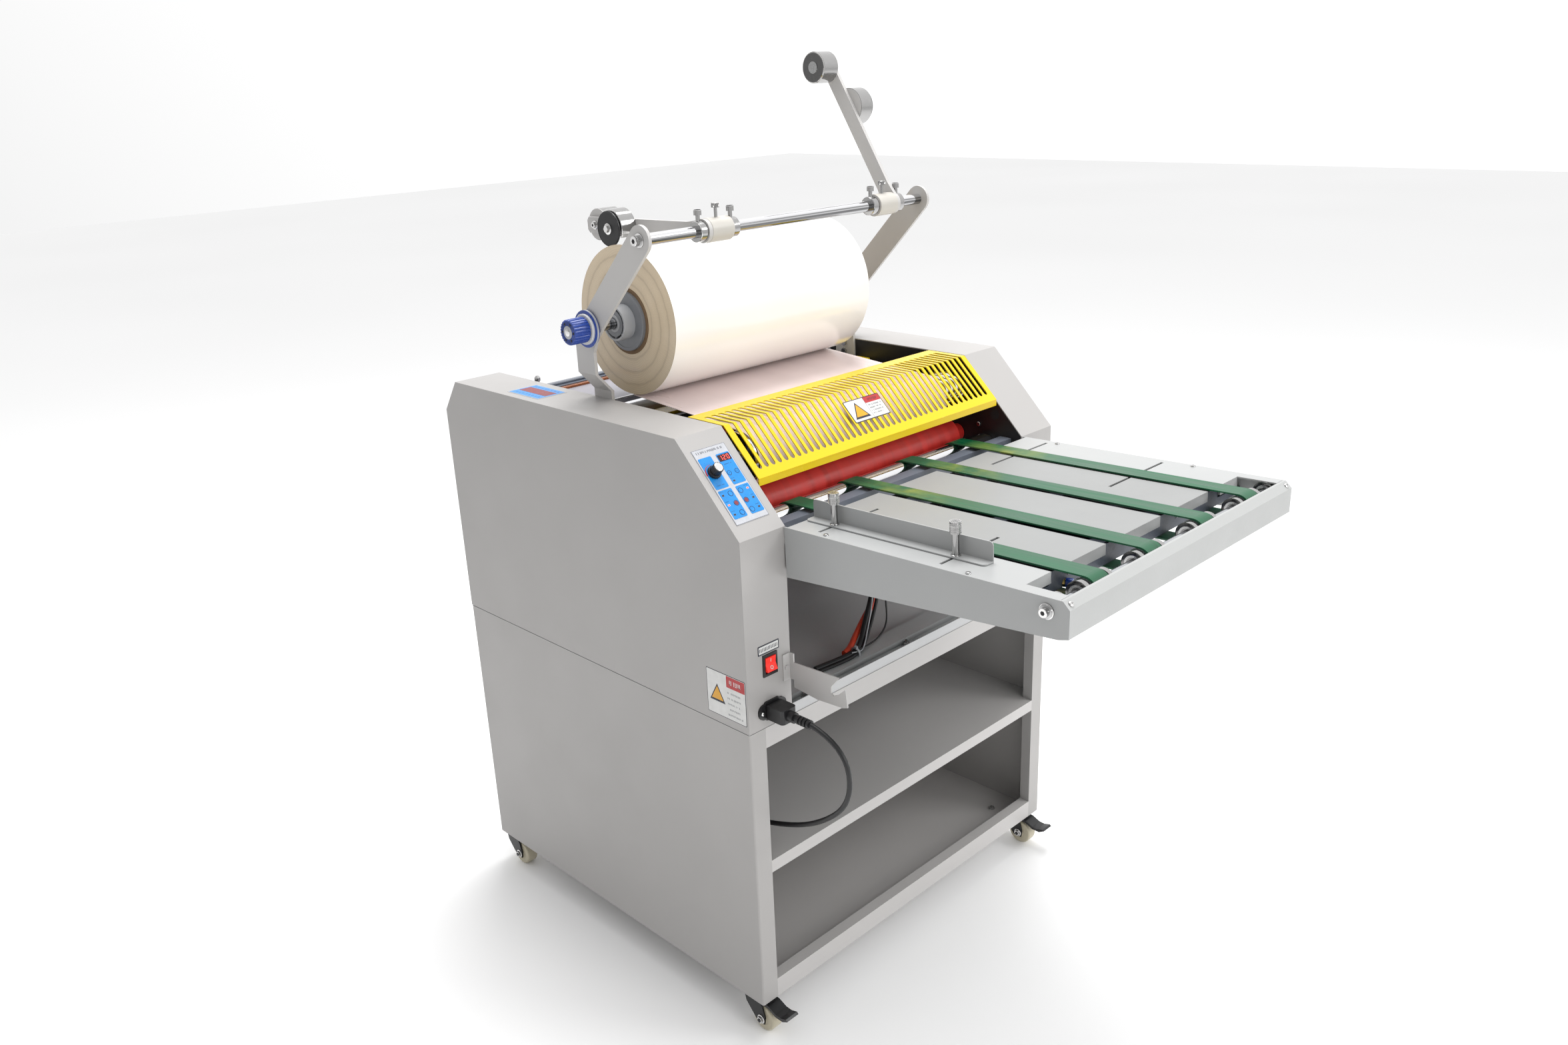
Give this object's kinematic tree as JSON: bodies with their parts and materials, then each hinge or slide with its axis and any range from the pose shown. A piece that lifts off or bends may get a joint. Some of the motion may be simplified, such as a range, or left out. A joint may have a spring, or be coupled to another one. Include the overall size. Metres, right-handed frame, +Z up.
{
  "type": "roll_laminator",
  "caption": "Floor-standing roll laminator: slotted guard over heated and silicone rollers, belt feed table, film roll on raised arms, edge cutters, open shelf cabinet on casters.",
  "frame": {"origin": "on the floor under the centre of the machine's bounding box", "axes": "+Z up, +X to the operator's right, +Y from the feed table to the rear"},
  "size_m": [0.68, 1.096, 1.3368],
  "materials": {
    "cabinet_paint": "light warm grey powder coat, fine texture",
    "black_paint": "black satin paint",
    "machined_aluminium": "machined",
    "polished_steel": "polished",
    "red_silicone": "smooth silicone, satin",
    "table_paint": "light warm grey powder coat",
    "green_belt": "smooth polyurethane",
    "nickel_plate": "bright nickel",
    "yellow_paint": "glossy yellow powder coat",
    "arm_paint": "light grey powder coat",
    "grey_plastic": "satin",
    "brown_card": "wound card",
    "clear_film": "glossy wound film",
    "blue_plastic": "moulded, ribbed",
    "black_plastic": "moulded black",
    "zinc_plate": "bright zinc",
    "cream_nylon": "cream nylon",
    "red_lens": "lit red lens",
    "cord_black": "black PVC",
    "panel_film": "printed polycarbonate overlay",
    "dark_grey_metal": "dark grey satin"
  },
  "bodies": {
    "frame": {"cabinet_shell": "cabinet_paint", "cabinet_shelves": "cabinet_paint", "bay_deck": "cabinet_paint", "housing_covers": "cabinet_paint", "side_plates": "black_paint", "tie_bars": "machined_aluminium", "rear_cover": "cabinet_paint", "top_cover": "cabinet_paint", "table_sides": "table_paint", "table_plates": "table_paint", "table_rails": "table_paint", "feed_belts": "green_belt", "supply_arms": "arm_paint", "crossbar": "polished_steel", "film_web": "clear_film", "caster_plates": "zinc_plate", "switch_bezel": "black_plastic", "power_inlet": "black_plastic", "cord_connector": "cord_black", "power_cord": "cord_black", "cord_coil": "cord_black", "mains_plug": "cord_black", "control_panel": "panel_film", "bay_cables": "cord_black", "hook_brackets": "arm_paint", "drive_motor": "dark_grey_metal", "fasteners": "zinc_plate"},
    "heat_roller": {"heat_roller": "polished_steel"},
    "pressure_roller": {"pressure_roller": "red_silicone"},
    "drive_roller": {"drive_roller": "polished_steel"},
    "idler_shaft": {"idler_shaft": "machined_aluminium"},
    "pull_roller_upper": {"pull_roller_upper": "polished_steel"},
    "pull_roller_lower": {"pull_roller_lower": "red_silicone"},
    "side_guide": {"side_guide": "table_paint"},
    "guide_screw_rear": {"guide_screw_rear": "nickel_plate"},
    "guide_screw_front": {"guide_screw_front": "nickel_plate"},
    "guard": {"guard": "yellow_paint"},
    "supply_roll": {"supply_shaft": "polished_steel", "core_flanges": "grey_plastic", "film_core": "brown_card", "film_roll": "clear_film"},
    "tension_knob": {"tension_knob": "blue_plastic"},
    "left_cutter_carriage": {"left_cutter_collars": "nickel_plate"},
    "left_cutter_arm": {"left_cutter_arm": "arm_paint"},
    "left_cutter_wheel": {"left_cutter_wheel": "black_plastic"},
    "right_cutter_carriage": {"right_cutter_collars": "nickel_plate"},
    "right_cutter_arm": {"right_cutter_arm": "arm_paint"},
    "right_cutter_wheel": {"right_cutter_wheel": "black_plastic"},
    "switch_rocker": {"switch_rocker": "red_lens"},
    "speed_knob": {"speed_knob": "black_plastic"},
    "caster_swivel_front_left": {"caster_fork_front_left": "black_paint"},
    "caster_wheel_front_left": {"caster_wheel_front_left": "cream_nylon"},
    "brake_lever_front_left": {"brake_lever_front_left": "black_plastic"},
    "caster_swivel_front_right": {"caster_fork_front_right": "black_paint"},
    "caster_wheel_front_right": {"caster_wheel_front_right": "cream_nylon"},
    "brake_lever_front_right": {"brake_lever_front_right": "black_plastic"},
    "caster_swivel_rear_left": {"caster_fork_rear_left": "black_paint"},
    "caster_wheel_rear_left": {"caster_wheel_rear_left": "cream_nylon"},
    "caster_swivel_rear_right": {"caster_fork_rear_right": "black_paint"},
    "caster_wheel_rear_right": {"caster_wheel_rear_right": "cream_nylon"}
  },
  "joints": [
    {"name": "heat_roller_turn", "type": "hinge", "parent": "frame", "child": "heat_roller", "pos_m": [0, 0.002, 0.821], "axis": [1, 0, 0], "continuous": true},
    {"name": "pressure_roller_turn", "type": "hinge", "parent": "frame", "child": "pressure_roller", "pos_m": [0, 0.002, 0.751], "axis": [1, 0, 0], "continuous": true},
    {"name": "drive_roller_turn", "type": "hinge", "parent": "frame", "child": "drive_roller", "pos_m": [0, -0.05666, 0.74574], "axis": [1, 0, 0], "continuous": true},
    {"name": "idler_turn", "type": "hinge", "parent": "frame", "child": "idler_shaft", "pos_m": [0, -0.51946, 0.75912], "axis": [1, 0, 0], "continuous": true},
    {"name": "pull_upper_turn", "type": "hinge", "parent": "frame", "child": "pull_roller_upper", "pos_m": [0, 0.248, 0.832], "axis": [1, 0, 0], "continuous": true},
    {"name": "pull_lower_turn", "type": "hinge", "parent": "frame", "child": "pull_roller_lower", "pos_m": [0, 0.248, 0.7754], "axis": [1, 0, 0], "continuous": true},
    {"name": "side_guide_slide", "type": "slide", "parent": "frame", "child": "side_guide", "axis": [1, 0, 0], "range_m": [-0.02, 0.018]},
    {"name": "guide_screw_rear_turn", "type": "hinge", "parent": "side_guide", "child": "guide_screw_rear", "pos_m": [-0.2218, -0.17359, 0.76713], "axis": [0, 0.0289, 0.9996], "range_deg": [-360, 360]},
    {"name": "guide_screw_front_turn", "type": "hinge", "parent": "side_guide", "child": "guide_screw_front", "pos_m": [-0.2218, -0.36601, 0.77269], "axis": [0, 0.0289, 0.9996], "range_deg": [-360, 360]},
    {"name": "guard_hinge", "type": "hinge", "parent": "frame", "child": "guard", "pos_m": [0, 0.055, 0.873], "axis": [1, 0, 0], "range_deg": [-90, 0]},
    {"name": "supply_roll_turn", "type": "hinge", "parent": "frame", "child": "supply_roll", "pos_m": [0, 0.226, 0.984], "axis": [1, 0, 0], "continuous": true},
    {"name": "tension_knob_turn", "type": "hinge", "parent": "supply_roll", "child": "tension_knob", "pos_m": [-0.303, 0.226, 0.984], "axis": [1, 0, 0], "range_deg": [-360, 360]},
    {"name": "left_cutter_slide", "type": "slide", "parent": "frame", "child": "left_cutter_carriage", "axis": [1, 0, 0], "range_m": [-0.06, 0.13]},
    {"name": "left_cutter_lift", "type": "hinge", "parent": "left_cutter_carriage", "child": "left_cutter_arm", "pos_m": [-0.15, 0.101, 1.112], "axis": [1, 0, 0], "range_deg": [0, 59]},
    {"name": "left_cutter_wheel_turn", "type": "hinge", "parent": "left_cutter_arm", "child": "left_cutter_wheel", "pos_m": [-0.19, 0.26897, 1.10877], "axis": [1, 0, 0], "continuous": true},
    {"name": "right_cutter_slide", "type": "slide", "parent": "frame", "child": "right_cutter_carriage", "axis": [1, 0, 0], "range_m": [-0.13, 0.022]},
    {"name": "right_cutter_lift", "type": "hinge", "parent": "right_cutter_carriage", "child": "right_cutter_arm", "pos_m": [0.194, 0.101, 1.112], "axis": [1, 0, 0], "range_deg": [-59, 0]},
    {"name": "right_cutter_wheel_turn", "type": "hinge", "parent": "right_cutter_arm", "child": "right_cutter_wheel", "pos_m": [0.234, 0.19003, 1.25447], "axis": [1, 0, 0], "continuous": true},
    {"name": "caster_swivel_front_left", "type": "hinge", "parent": "frame", "child": "caster_swivel_front_left", "pos_m": [-0.318, -0.088, 0.05], "axis": [0, 0, 1], "continuous": true},
    {"name": "caster_roll_front_left", "type": "hinge", "parent": "caster_swivel_front_left", "child": "caster_wheel_front_left", "pos_m": [-0.318, -0.106, 0.021], "axis": [1, 0, 0], "continuous": true},
    {"name": "brake_front_left", "type": "hinge", "parent": "caster_swivel_front_left", "child": "brake_lever_front_left", "pos_m": [-0.318, -0.108, 0.0483], "axis": [1, 0, 0], "range_deg": [0, 10]},
    {"name": "caster_swivel_front_right", "type": "hinge", "parent": "frame", "child": "caster_swivel_front_right", "pos_m": [0.318, -0.088, 0.05], "axis": [0, 0, 1], "continuous": true},
    {"name": "caster_roll_front_right", "type": "hinge", "parent": "caster_swivel_front_right", "child": "caster_wheel_front_right", "pos_m": [0.318, -0.106, 0.021], "axis": [1, 0, 0], "continuous": true},
    {"name": "brake_front_right", "type": "hinge", "parent": "caster_swivel_front_right", "child": "brake_lever_front_right", "pos_m": [0.318, -0.108, 0.0483], "axis": [1, 0, 0], "range_deg": [0, 10]},
    {"name": "caster_swivel_rear_left", "type": "hinge", "parent": "frame", "child": "caster_swivel_rear_left", "pos_m": [-0.318, 0.528, 0.05], "axis": [0, 0, 1], "continuous": true},
    {"name": "caster_roll_rear_left", "type": "hinge", "parent": "caster_swivel_rear_left", "child": "caster_wheel_rear_left", "pos_m": [-0.318, 0.51, 0.021], "axis": [1, 0, 0], "continuous": true},
    {"name": "caster_swivel_rear_right", "type": "hinge", "parent": "frame", "child": "caster_swivel_rear_right", "pos_m": [0.318, 0.528, 0.05], "axis": [0, 0, 1], "continuous": true},
    {"name": "caster_roll_rear_right", "type": "hinge", "parent": "caster_swivel_rear_right", "child": "caster_wheel_rear_right", "pos_m": [0.318, 0.51, 0.021], "axis": [1, 0, 0], "continuous": true},
    {"name": "rocker_tilt", "type": "hinge", "parent": "frame", "child": "switch_rocker", "pos_m": [-0.298, -0.117, 0.583], "axis": [1, 0, 0], "range_deg": [0, 18]},
    {"name": "speed_knob_turn", "type": "hinge", "parent": "frame", "child": "speed_knob", "pos_m": [-0.315, -0.05333, 0.83532], "axis": [0, -0.7133, 0.7008], "range_deg": [-150, 150]}
  ],
  "couplings": [
    {"joint": "pressure_roller_turn", "follows": "heat_roller_turn", "ratio": -1.1719},
    {"joint": "drive_roller_turn", "follows": "heat_roller_turn", "ratio": -2.0833},
    {"joint": "idler_turn", "follows": "heat_roller_turn", "ratio": -2.0833},
    {"joint": "pull_upper_turn", "follows": "heat_roller_turn", "ratio": 1.3393},
    {"joint": "pull_lower_turn", "follows": "heat_roller_turn", "ratio": -1.3393},
    {"joint": "supply_roll_turn", "follows": "heat_roller_turn", "ratio": -0.35607}
  ]
}
